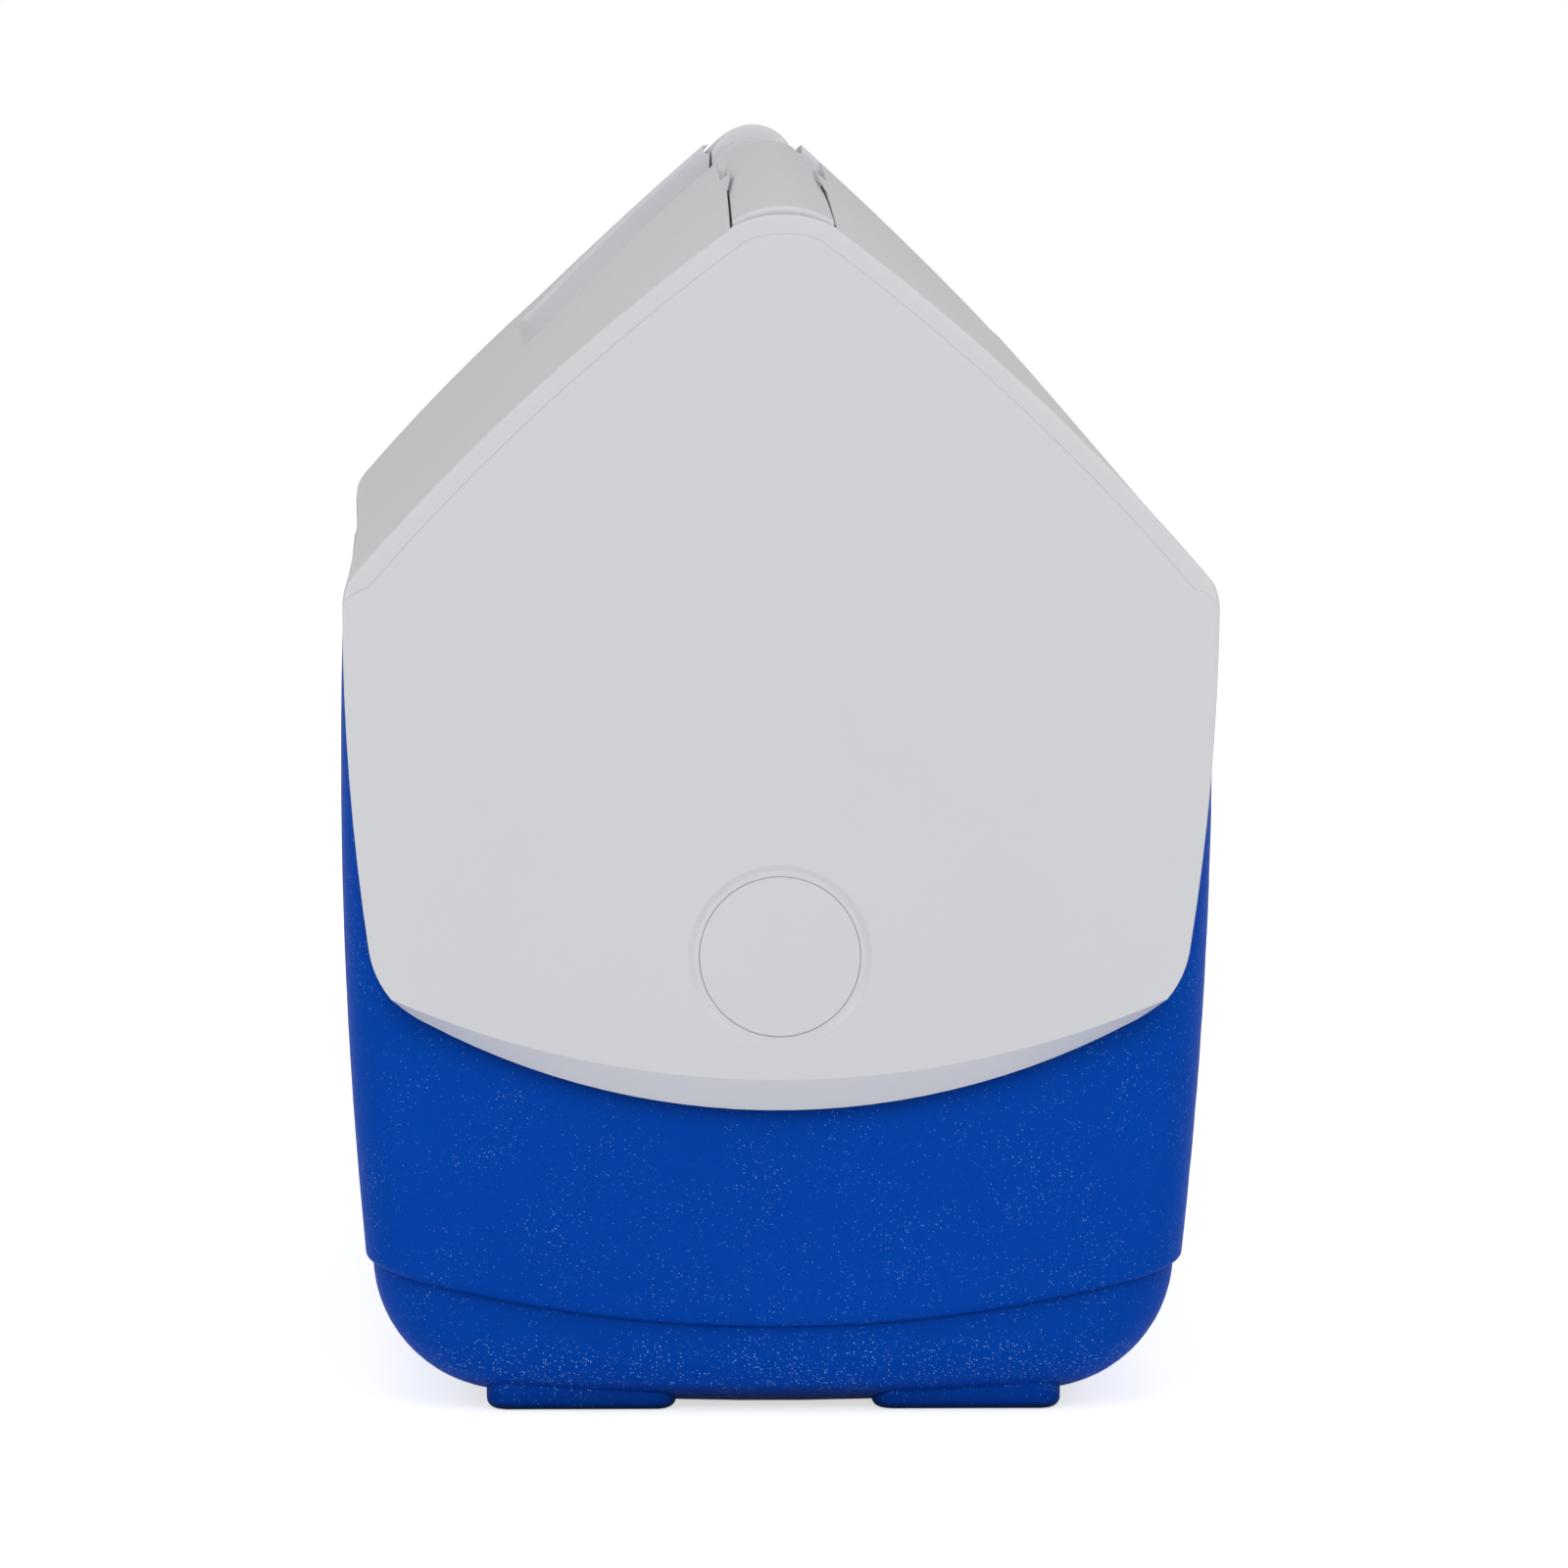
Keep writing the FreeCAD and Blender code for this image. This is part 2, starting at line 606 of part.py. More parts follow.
def channel():
    """The handle's channel: the block's own outline with a narrow gap, and
    towards the recess a shallow ledge on either side."""
    groove_gap = -(CLEAR + CHANNEL_GAP)
    slot = loft([block_section(y, groove_gap, CHANNEL_FLOOR_Z)
                 for y in spaced(-ROOF_HALF - 1.0, -RECESS_HALF_L + 1.0, 4)])
    ledge = loft([ledge_section(y) for y in spaced(-FLARE_Y, -RECESS_HALF_L + 1.0, 3)])
    return union(both_ends(slot) + both_ends(ledge))


def ledge_section(y):
    low = ridge_z(y) - FLARE_DEPTH
    high = ridge_z(y) + 1.0
    corners = [(-CHANNEL_HALF, low), (CHANNEL_HALF, low), (CHANNEL_HALF, high), (-CHANNEL_HALF, high)]
    return Part.makePolygon([V(x, y, z) for x, z in corners + corners[:1]])


def lid_roof():
    outer = roof_solid(0.0, EAVE_BOTTOM_Z, ROOF_HALF)
    outer = outer.cut(slab(FAR, RECESS_HALF_L, RECESS_FLOOR_Z, FAR))
    lip = [
        e for e in outer.Edges
        if abs(e.CenterOfMass.y) < RECESS_HALF_L + 0.01 and e.CenterOfMass.z > RECESS_FLOOR_Z - 1.0
        and not (e.BoundBox.XLength > 100.0 and e.BoundBox.ZLength < 0.1)
    ]
    outer = outer.makeFillet(LIP_R, lip).cut(channel())
    void = roof_solid(ROOF_T, EAVE_BOTTOM_Z - VOID_BELOW, ROOF_HALF)
    void = void.common(slab(VAULT_SEAT_HALF, FAR, 0.0, FAR)).cut(grooves(ROOF_T, 0.0))
    seat = cyl_y(VAULT_R + VAULT_T + 0.2, -FAR, FAR).common(slab(VAULT_SEAT_HALF, FAR, 0.0, FAR))
    roof = outer.cut(void).cut(seat).cut(cyl_y(VAULT_R, -FAR, FAR))
    for x, y in handle_screw_spots():
        roof = roof.cut(cyl_z(SCREW_HOLE_R, CHANNEL_FLOOR_Z - 2 * ROOF_T, CHANNEL_FLOOR_Z + 1, x, y))
    return roof


def panel_screw_spots():
    return [(sx * x, z) for sx in (-1, 1) for x, z in PANEL_SCREWS]


def lid_liner():
    """Half-round vault with a flange at each end for the panel screws."""
    vault = ring_y(VAULT_R + VAULT_T, VAULT_R, -ROOF_HALF + VAULT_END_GAP, ROOF_HALF - VAULT_END_GAP)
    vault = vault.common(slab(VAULT_SEAT_HALF - 0.4, FAR, PIVOT_Z, FAR))
    flange = roof_solid(ROOF_T + CLEAR, EAVE_BOTTOM_Z - VOID_BELOW, ROOF_HALF)
    y0 = -(PANEL_SEAT - CLEAR)
    flange = flange.common(box(-SEAT_HALF, SEAT_HALF, y0, y0 + SEAT_FLANGE_T, 0.0, FAR))
    flange = flange.cut(cyl_y(VAULT_R + SKIN, -FAR, FAR)).cut(grooves(ROOF_T, CLEAR))
    for x, z in panel_screw_spots():
        flange = flange.cut(cyl_y(SCREW_HOLE_R, y0 - 1.0, y0 + SEAT_FLANGE_T + 1.0, x, z))
    return union([vault] + both_ends(flange))


def lid_foam():
    block = roof_solid(ROOF_T + CLEAR, EAVE_BOTTOM_Z - VOID_BELOW, ROOF_HALF)
    inner = PANEL_SEAT - CLEAR - SEAT_FLANGE_T - CLEAR
    block = block.common(slab(LID_FOAM_HALF, inner, 0.0, FAR))
    block = block.cut(cyl_y(VAULT_R + VAULT_T + CLEAR, -FAR, FAR)).cut(grooves(ROOF_T, CLEAR))
    for x, y in handle_screw_spots():
        block = block.cut(cyl_z(SCREW_HEAD_R + 2 * CLEAR, CHANNEL_FLOOR_Z - 8.0, CHANNEL_FLOOR_Z, x, y))
    for x, z in panel_screw_spots():
        for well in both_ends(cyl_y(SCREW_HEAD_R + 2 * CLEAR, -FAR, -(inner - 5.0), x, z)):
            block = block.cut(well)
    return block


# ---- handle -------------------------------------------------------------
def handle_top(y):
    return ridge_z(y) + HANDLE_STEP


def block_section(y, inset, bottom):
    """D-shaped section of the handle's end block at station y."""
    share = min(1.0, (ROOF_HALF - abs(y)) / (ROOF_HALF - RECESS_HALF_L))
    half = BLOCK_HALF[0] + (BLOCK_HALF[1] - BLOCK_HALF[0]) * share - inset
    drop = BLOCK_DROP[0] + (BLOCK_DROP[1] - BLOCK_DROP[0]) * share
    top = handle_top(y) - inset
    return Part.Wire([
        arc((-half, y, top - drop), (0, y, top), (half, y, top - drop)),
        line((half, y, top - drop), (half, y, bottom)),
        line((half, y, bottom), (-half, y, bottom)),
        line((-half, y, bottom), (-half, y, top - drop)),
    ])


def end_block():
    """The handle's -Y end block, hollow from below, with two screw posts."""
    y0 = -(ROOF_HALF - 0.4)
    y1 = -RECESS_HALF_L
    bottom = CHANNEL_FLOOR_Z + 0.2
    block = loft([block_section(y, 0.0, bottom) for y in spaced(y0, y1, 3)])
    for end_y in (y0, y1):
        rim = [
            e for e in block.Edges
            if e.BoundBox.YLength < 0.01 and abs(e.CenterOfMass.y - end_y) < 0.01
            and e.BoundBox.ZMax > handle_top(end_y) - 0.5
        ]
        block = block.makeFillet(BLOCK_EDGE_R, rim)
    steps = spaced(y0 + HANDLE_WALL, y1 - HANDLE_WALL, 3)
    hollow = loft([block_section(y, HANDLE_WALL, bottom - 1.0) for y in steps])
    block = block.cut(hollow)
    posts = [cyl_z(HANDLE_POST_R, bottom, handle_top(y) - HANDLE_WALL / 2.0, 0.0, -y)
             for y in HANDLE_SCREW_Y]
    block = union([block] + posts)
    for y in HANDLE_SCREW_Y:
        hole_top = CHANNEL_FLOOR_Z + HANDLE_SCREW_GRIP + 2 * CLEAR
        block = block.cut(cyl_z(SCREW_HOLE_R, bottom - 1.0, hole_top, 0.0, -y))
    return block


def spaced(a, b, parts):
    return [a + (b - a) * i / float(parts) for i in range(parts + 1)]


def grip_crown():
    return handle_top(RECESS_HALF_L) - GRIP_LOWER


def grip_arch(y, half, drop, inset, low):
    """Section with a rounded top, inset below the crown, and a flat base."""
    top = grip_crown() - inset
    base = grip_crown() - low
    return Part.Wire([
        arc((-half, y, top - drop), (0, y, top), (half, y, top - drop)),
        line((half, y, top - drop), (half, y, base)),
        line((half, y, base), (-half, y, base)),
        line((-half, y, base), (-half, y, top - drop)),
    ])


def grip_bowl(y, half, high, low):
    """Section with a flat top and a half-round underside."""
    top = grip_crown() - high
    return Part.Wire([
        arc((-half, y, top), (0, y, grip_crown() - low), (half, y, top)),
        line((half, y, top), (-half, y, top)),
    ])


def handle_bar():
    """Two end blocks and the upper half of the grip, in one moulding."""
    half = RECESS_HALF_L + 1.0
    grip = loft([grip_arch(y, GRIP_HALF, GRIP_DROP, 0.0, GRIP_SEAM) for y in spaced(-half, half, 4)])
    bar = union([grip] + both_ends(end_block()))
    inner = RECESS_HALF_L - HANDLE_WALL
    core = loft([grip_arch(y, GRIP_HALF - HANDLE_WALL, GRIP_DROP / 2.0, HANDLE_WALL, GRIP_SEAM + 1.0)
                 for y in spaced(-inner, inner, 4)])
    return bar.cut(core)


def handle_cover():
    """Lower half of the grip, between the two end blocks."""
    half = RECESS_HALF_L - 0.2
    seam = GRIP_SEAM + 0.15
    cover = loft([grip_bowl(y, GRIP_HALF, seam, GRIP_DEPTH) for y in spaced(-half, half, 4)])
    inner = half - COVER_T
    core = loft([grip_bowl(y, GRIP_HALF - COVER_T, seam - 0.5, GRIP_DEPTH - COVER_T)
                 for y in spaced(-inner, inner, 4)])
    return cover.cut(core)


def handle_screw_spots():
    return [(0.0, s * y) for y in HANDLE_SCREW_Y for s in (-1, 1)]


def handle_screws():
    screws = []
    under = CHANNEL_FLOOR_Z - ROOF_T
    for x, y in handle_screw_spots():
        head = cyl_z(SCREW_HEAD_R, under - SCREW_HEAD_T, under, x, y)
        shank = cyl_z(SCREW_SHANK_R, under, CHANNEL_FLOOR_Z + HANDLE_SCREW_GRIP, x, y)
        z0 = under - SCREW_HEAD_T
        z1 = under - SCREW_HEAD_T / 2.0
        along = box(x - CROSS_HALF_W, x + CROSS_HALF_W, y - CROSS_HALF, y + CROSS_HALF, z0, z1)
        across = box(x - CROSS_HALF, x + CROSS_HALF, y - CROSS_HALF_W, y + CROSS_HALF_W, z0, z1)
        screws.append(union([head, shank]).cut(along).cut(across))
    return Part.makeCompound(screws)


# ---- end panels ---------------------------------------------------------
def panel_outline(y, inset_top=0.0, inset_all=0.0):
    """Five-sided outline at station y. inset_top draws in only the two
    slopes and the apex; inset_all draws in every edge."""
    start = math.radians(SLOPE_TOP_DEG)
    end = math.radians(SLOPE_END_DEG)
    t = inset_top + inset_all
    a = inset_all
    apex = (0.0, y, APEX_Z - t)
    px = APEX_HALF - t * math.sin(start)
    pz = APEX_Z - APEX_DROP - t * math.cos(start)
    side_x, sz = PANEL_SIDE_TOP
    (ex, ez), _, _ = eave_corner(side_x, PANEL_EAVE_Z, PANEL_EAVE_Z - sz)
    ex -= t * math.sin(end)
    ez -= t * math.cos(end)
    sx = side_x - a
    low_x, low_z = PANEL_SIDE_LOW
    mid_x, mid_z = PANEL_SIDE_MID
    lcx, lcz = PANEL_LOW_MID
    bx = PANEL_LOW_X
    bz = PANEL_LOW_Z + PANEL_LOW_R - math.sqrt(PANEL_LOW_R ** 2 - bx ** 2)
    edges = [
        arc((-px, y, pz), apex, (px, y, pz)),
        bowed((px, y, pz), (ex, y, ez), SLOPE_BOW),
        bowed((ex, y, ez), (sx, y, sz), PANEL_EAVE_BOW),
        arc((sx, y, sz), (mid_x - a, y, mid_z), (low_x - a, y, low_z)),
        arc((low_x - a, y, low_z), (lcx - 0.75 * a, y, lcz + 0.65 * a),
            (bx - 0.45 * a, y, bz + 0.89 * a)),
        arc((bx - 0.45 * a, y, bz + 0.89 * a), (0, y, PANEL_LOW_Z + a),
            (-bx + 0.45 * a, y, bz + 0.89 * a)),
        arc((-bx + 0.45 * a, y, bz + 0.89 * a), (-lcx + 0.75 * a, y, lcz + 0.65 * a),
            (-low_x + a, y, low_z)),
        arc((-low_x + a, y, low_z), (-mid_x + a, y, mid_z), (-sx, y, sz)),
        bowed((-sx, y, sz), (-ex, y, ez), PANEL_EAVE_BOW),
        bowed((-ex, y, ez), (-px, y, pz), SLOPE_BOW),
    ]
    return Part.Wire(edges)


def under_arc(y, radius, lowest):
    """Everything below an arc that sags to the middle, as a closed wire."""
    half = BODY_HALF_W + 8.0
    floor_z = PANEL_LOW_Z - 50.0
    side = lowest + radius - math.sqrt(radius * radius - half * half)
    return Part.Wire([
        arc((-half, y, side), (0, y, lowest), (half, y, side)),
        line((half, y, side), (half, y, floor_z)),
        line((half, y, floor_z), (-half, y, floor_z)),
        line((-half, y, floor_z), (-half, y, side)),
    ])


def bevel_wedge(y0, lift):
    """Wedge that the bevel cuts off the lower edge, moved up by lift."""
    back = -HALF_L + BEVEL_DEPTH
    return loft([under_arc(y0, BEVEL_R - lift, BEVEL_Z + lift),
                 under_arc(back, PANEL_LOW_R - lift, PANEL_LOW_Z + lift)], True)


def panel_blank():
    """The -Y panel's shell: plate, border, bevel and skirt."""
    face = -HALF_L
    border = loft([panel_outline(face + BORDER_STEP, BORDER_INSET), panel_outline(face + BORDER_BACK)], True)
    plateau = Part.Face(panel_outline(face, BORDER_INSET)).extrude(V(0, BORDER_BACK, 0))
    body = Part.Face(panel_outline(face + BORDER_BACK)).extrude(V(0, SKIRT_DEPTH - BORDER_BACK, 0))
    blank = union([border, body, plateau]).cut(bevel_wedge(face, 0.0))
    blank = round_panel_rim(blank, face)
    hollow = Part.Face(panel_outline(face + PANEL_T, 0.0, SKIRT_T)).extrude(V(0, FAR, 0))
    hollow = hollow.cut(bevel_wedge(face, BEVEL_WALL))
    blank = blank.cut(hollow)
    # above the eaves the skirt stops short of the roof's end
    above = box(-FAR, FAR, -ROOF_HALF - CLEAR, face + SKIRT_DEPTH + 1.0, EAVE_BOTTOM_Z - 0.4, FAR)
    return blank.cut(above)


def round_panel_rim(blank, face):
    """Rounds the edge between the panel's border and its skirt."""
    rim = [
        e for e in blank.Edges
        if e.BoundBox.YLength < 0.01 and abs(e.CenterOfMass.y - face - BORDER_BACK) < 0.01
    ]
    return blank.makeFillet(PANEL_EDGE_R, rim)


def front_panel():
    face = -HALF_L
    plate_in = face + PANEL_T
    panel = panel_blank()
    tube = ring_y(WELL_WALL_R, WELL_R, face + DISH_DEPTH / 2.0, -WEB_IN)
    web = ring_y(WELL_WALL_R, RING_BORE_R, -WEB_OUT, -WEB_IN)
    ring = ring_y(RING_R, RING_BORE_R, -WEB_OUT, -(HUB_FACE + SKIN))
    pin = cyl_y(PIN_R, plate_in - SKIN, -(HUB_FACE - GROOVE_DEPTH + 2 * CLEAR), 0.0, PIVOT_Z + GROOVE_R)
    bosses = [cyl_y(PANEL_BOSS_R, plate_in - SKIN, -(PANEL_SEAT - 0.1), x, z)
              for x, z in panel_screw_spots()]
    panel = panel.cut(cyl_y(WELL_R, -FAR, 0.0))
    panel = union([panel, tube, web, ring, pin] + bosses)
    dish = Part.makeCone(DISH_R - DISH_DEPTH * DISH_SLOPE, DISH_R, DISH_DEPTH,
                         V(0, face + DISH_DEPTH, PIVOT_Z + DISH_UP), V(0, -1, 0))
    panel = panel.cut(dish).cut(cyl_y(WELL_R, -FAR, -WEB_OUT))
    for x, z in panel_screw_spots():
        panel = panel.cut(cyl_y(SCREW_HOLE_R, -(PANEL_SEAT + PANEL_SCREW_GRIP), -(PANEL_SEAT - 1.0), x, z))
    return panel


def panel_screws():
    screws = []
    head_y = -(PANEL_SEAT - CLEAR - SEAT_FLANGE_T - 0.2)
    for x, z in panel_screw_spots():
        screws += both_ends(pan_screw(x, z, head_y, -(PANEL_SEAT + PANEL_SCREW_GRIP - 0.4)))
    return Part.makeCompound(screws)


# ---- button -------------------------------------------------------------
def domed_disc(skirt_end):
    """Round cap with a shallow dome, a rounded rim and a short skirt."""
    rim = -(HALF_L - DISH_DEPTH + 0.1)
    y_front = rim - DOME
    sphere_r = (BUTTON_R ** 2 + DOME ** 2) / (2.0 * DOME)
    cap = cyl_y(BUTTON_R, y_front - 1.0, -BUTTON_BACK)
    ball = Part.makeSphere(sphere_r, V(0, y_front + sphere_r, PIVOT_Z))
    cap = cap.common(ball)
    edge = [
        e for e in cap.Edges
        if e.BoundBox.YMax < -BUTTON_BACK - 0.5 and e.BoundBox.XLength > 1.8 * BUTTON_R
    ]
    cap = cap.makeFillet(BUTTON_EDGE_R, edge)
    skirt = ring_y(BUTTON_R, BUTTON_R - BUTTON_WALL, -BUTTON_BACK - SKIN, skirt_end)
    return union([cap, skirt])


def push_button():
    cap = domed_disc(-(WEB_OUT + BUTTON_TRAVEL + CLEAR + 0.1))
    stem = cyl_y(STEM_R, -BUTTON_BACK - SKIN, -COLLAR_OUT)
    return union([cap, stem]).cut(cyl_y(STEM_BORE_R, -(LEDGE_OUT + BUTTON_TRAVEL), 0.0))


def lock_collar():
    disc = cyl_y(STEM_R - 0.1, -COLLAR_OUT, -COLLAR_IN)
    lugs = box(-COLLAR_R, COLLAR_R, -COLLAR_OUT, -COLLAR_IN, PIVOT_Z - LUG_HALF, PIVOT_Z + LUG_HALF)
    lugs = lugs.common(cyl_y(COLLAR_R, -FAR, 0.0))
    return union([disc, lugs]).cut(cyl_y(STEM_BORE_R, -FAR, 0.0))


def collar_screw():
    head = cyl_y(2 * STEM_BORE_R - 0.2, -COLLAR_IN, -SCREW_HEAD_IN)
    shank = cyl_y(STEM_BORE_R - 0.1, -(LEDGE_OUT + BUTTON_TRAVEL - 0.5), -COLLAR_IN)
    slot_y = -SCREW_HEAD_IN - 0.8
    flat = box(-CROSS_HALF, CROSS_HALF, slot_y, -SCREW_HEAD_IN,
               PIVOT_Z - CROSS_HALF_W, PIVOT_Z + CROSS_HALF_W)
    upright = box(-CROSS_HALF_W, CROSS_HALF_W, slot_y, -SCREW_HEAD_IN,
                  PIVOT_Z - CROSS_HALF, PIVOT_Z + CROSS_HALF)
    return union([head, shank]).cut(flat).cut(upright)


NODES = {
    "body_shell": body_shell,
    "body_foam": body_foam,
    "body_liner": body_liner,
    "front_hub": front_hub,
    "rear_hub": rear_hub,
    "front_hub_plug": hub_plug,
    "hub_screws": hub_screws,
    "return_spring": return_spring,
    "lid_roof": lid_roof,
    "front_panel": front_panel,
    "rear_panel": lambda: to_back(front_panel()),
    "lid_liner": lid_liner,
    "lid_foam": lid_foam,
    "handle_bar": handle_bar,
    "handle_cover": handle_cover,
    "handle_screws": handle_screws,
    "panel_screws": panel_screws,
    "rear_pivot_cap": lambda: to_back(domed_disc(-(WEB_OUT + 0.2))),
    "push_button": push_button,
    "lock_collar": lock_collar,
    "collar_screw": collar_screw,
}

for node, make in NODES.items():
    export(node, make())
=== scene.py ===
import json
import math

import bmesh
import bpy
from mathutils import Matrix, Vector


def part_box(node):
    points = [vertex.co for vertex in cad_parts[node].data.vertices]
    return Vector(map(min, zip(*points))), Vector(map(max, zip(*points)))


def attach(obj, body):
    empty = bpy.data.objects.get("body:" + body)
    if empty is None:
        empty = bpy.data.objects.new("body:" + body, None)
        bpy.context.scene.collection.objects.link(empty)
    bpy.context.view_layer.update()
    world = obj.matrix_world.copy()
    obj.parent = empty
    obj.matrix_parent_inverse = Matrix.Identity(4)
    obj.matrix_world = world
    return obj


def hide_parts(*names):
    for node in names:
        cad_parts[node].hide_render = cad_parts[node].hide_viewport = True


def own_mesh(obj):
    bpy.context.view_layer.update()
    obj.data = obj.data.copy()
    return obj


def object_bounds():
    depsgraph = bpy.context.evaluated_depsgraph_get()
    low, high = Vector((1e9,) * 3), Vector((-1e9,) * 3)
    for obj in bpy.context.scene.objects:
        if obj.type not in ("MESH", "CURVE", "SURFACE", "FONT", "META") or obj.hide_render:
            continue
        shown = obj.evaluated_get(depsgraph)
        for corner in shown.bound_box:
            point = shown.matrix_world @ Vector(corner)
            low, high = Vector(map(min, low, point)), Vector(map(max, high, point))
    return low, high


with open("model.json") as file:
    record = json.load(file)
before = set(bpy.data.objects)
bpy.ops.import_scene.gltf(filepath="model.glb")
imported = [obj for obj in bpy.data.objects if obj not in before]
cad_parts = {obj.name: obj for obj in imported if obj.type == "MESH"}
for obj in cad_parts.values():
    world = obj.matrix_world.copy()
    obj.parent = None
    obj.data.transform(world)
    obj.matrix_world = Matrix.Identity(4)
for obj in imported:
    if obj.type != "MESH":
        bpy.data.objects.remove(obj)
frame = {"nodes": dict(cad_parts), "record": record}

cad_low, cad_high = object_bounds()
nodes = frame["nodes"]
MM = 0.001

# pebble grain of the blue body, and glints painted into its colour
PEBBLES_PER_M = 1450.0
PEBBLE_DEPTH = 0.05 * MM
SEAM_HALF = 0.35 * MM         # half width of the mould's parting ridge
SEAM_DEPTH = 0.06 * MM
GLINT_BAND_Z = (4.0 * MM, 9.0 * MM, 16.0 * MM, 26.0 * MM)   # painted glints: starts, full, still full, gone
GLINT_BAND_EXTRA = 0.22
PAINTED_SHADE_REACH = 9.0 * MM         # painted shade darkens the blue this close under an overhang

# moulded white plastic
WAVE_DEPTH = 0.02 * MM
SPARK_DEPTH = 0.002 * MM

# studio
FLOOR_HALF = 60.0
FLOOR_GLOW_BOUNCED = 0.10
FLOOR_GLOW_SEEN = 0.64
BOX_DISTANCE = 2.6
BOX_SIZE = 1.3
BOX_ELEVATION = 22.0
FRONT_AZIMUTH = 42.0
FRONT_POWER = 10.6
BACK_AZIMUTH = 138.0
BACK_POWER = 6.0
OVERHEAD_ELEVATION = 80.0
OVERHEAD_DISTANCE = 2.4
OVERHEAD_SIZE = 2.2
OVERHEAD_POWER = 12.0
WORLD_LIGHT = 0.40

# camera
LENS = 189.7
CAMERA_X = -0.0952
CAMERA_HEIGHT = 0.466
CAMERA_BACK = 2.350           # in front of the chest's near end
CAMERA_YAW = 2.34
CAMERA_PITCH = 6.76
CAMERA_ROLL = 0.3


# ---- material building blocks --------------------------------------------
class Surface:
    """A Principled material with helpers for the node patterns used below."""

    def __init__(self, name):
        self.material = bpy.data.materials.new(name)
        self.material.use_nodes = True
        self.tree = self.material.node_tree
        self.shader = self.tree.nodes["Principled BSDF"]
        coords = self.tree.nodes.new("ShaderNodeTexCoord")
        self.position = coords.outputs["Object"]

    def link(self, source, target):
        self.tree.links.new(source, target)

    def noise(self, scale, detail=3.0, roughness=0.5, stretch=None):
        node = self.tree.nodes.new("ShaderNodeTexNoise")
        node.inputs["Scale"].default_value = scale
        node.inputs["Detail"].default_value = detail
        node.inputs["Roughness"].default_value = roughness
        self.link(self.stretched(stretch), node.inputs["Vector"])
        return node.outputs["Fac"]

    def cells(self, scale):
        node = self.tree.nodes.new("ShaderNodeTexVoronoi")
        node.inputs["Scale"].default_value = scale
        self.link(self.position, node.inputs["Vector"])
        return node

    def stretched(self, stretch):
        if stretch is None:
            return self.position
        node = self.tree.nodes.new("ShaderNodeMapping")
        node.inputs["Scale"].default_value = stretch
        self.link(self.position, node.inputs["Vector"])
        return node.outputs["Vector"]

    def remap(self, value, from_low, from_high, to_low, to_high):
        node = self.tree.nodes.new("ShaderNodeMapRange")
        node.inputs["From Min"].default_value = from_low
        node.inputs["From Max"].default_value = from_high
        node.inputs["To Min"].default_value = to_low
        node.inputs["To Max"].default_value = to_high
        self.link(value, node.inputs["Value"])
        return node.outputs["Result"]

    def math(self, operation, a, b):
        node = self.tree.nodes.new("ShaderNodeMath")
        node.operation = operation
        for socket, value in zip(node.inputs, (a, b)):
            if isinstance(value, (int, float)):
                socket.default_value = value
            else:
                self.link(value, socket)
        return node.outputs["Value"]

    def mix(self, factor, a, b):
        node = self.tree.nodes.new("ShaderNodeMix")
        node.data_type = "RGBA"
        node.inputs["A"].default_value = (*a, 1.0)
        node.inputs["B"].default_value = (*b, 1.0)
        self.link(factor, node.inputs["Factor"])
        return node.outputs["Result"]

    def mix_sockets(self, factor, a, b):
        """Mix from a colour socket to a fixed colour."""
        node = self.tree.nodes.new("ShaderNodeMix")
        node.data_type = "RGBA"
        self.link(a, node.inputs["A"])
        node.inputs["B"].default_value = (*b, 1.0)
        self.link(factor, node.inputs["Factor"])
        return node.outputs["Result"]

    def channel(self, colour, name):
        node = self.tree.nodes.new("ShaderNodeSeparateColor")
        self.link(colour, node.inputs["Color"])
        return node.outputs[name]

    def axis(self, name):
        node = self.tree.nodes.new("ShaderNodeSeparateXYZ")
        self.link(self.position, node.inputs["Vector"])
        return node.outputs[name]

    def painted_glint_density(self):
        """How many pebble crests get a painted glint in the colour: patchy, and most of them in a band round
        the foot of the body."""
        patches = self.remap(self.noise(45.0, 3.0), 0.35, 0.66, 0.58, 0.74)
        height = self.axis("Z")
        starts, full, still_full, gone = GLINT_BAND_Z
        rising = self.remap(height, starts, full, 0.0, GLINT_BAND_EXTRA)
        falling = self.remap(height, still_full, gone, 1.0, 0.0)
        return self.math("ADD", patches, self.math("MULTIPLY", rising, falling))

    def painted_nook_shade(self, colour, reach):
        """Paints shade into a colour: darkens it under overhangs and in corners."""
        node = self.tree.nodes.new("ShaderNodeAmbientOcclusion")
        node.samples = 8
        node.inputs["Distance"].default_value = reach
        self.link(colour, node.inputs["Color"])
        return node.outputs["Color"]

    def seen_directly(self):
        """1 where the camera sees the surface itself, 0 for bounced light."""
        return self.tree.nodes.new("ShaderNodeLightPath").outputs["Is Camera Ray"]

    def mould_line(self):
        """Low ridge where the two halves of the mould meet, at mid width."""
        offset = self.math("ABSOLUTE", self.axis("X"), 0.0)
        return self.remap(offset, 0.0, SEAM_HALF, 1.0, 0.0)

    def bump(self, height, depth, before=None):
        """Bump whose full height range is depth metres."""
        node = self.tree.nodes.new("ShaderNodeBump")
        node.inputs["Distance"].default_value = depth
        self.link(height, node.inputs["Height"])
        if before is not None:
            self.link(before, node.inputs["Normal"])
        return node.outputs["Normal"]

    def eased_edges(self, radius):
        node = self.tree.nodes.new("ShaderNodeBevel")
        node.samples = 4
        node.inputs["Radius"].default_value = radius
        return node.outputs["Normal"]

    def colour(self, source):
        self.link(source, self.shader.inputs["Base Color"])

    def roughness(self, source):
        self.link(source, self.shader.inputs["Roughness"])

    def normal(self, source):
        self.link(source, self.shader.inputs["Normal"])

    def specular(self, level):
        self.shader.inputs["Specular IOR Level"].default_value = level


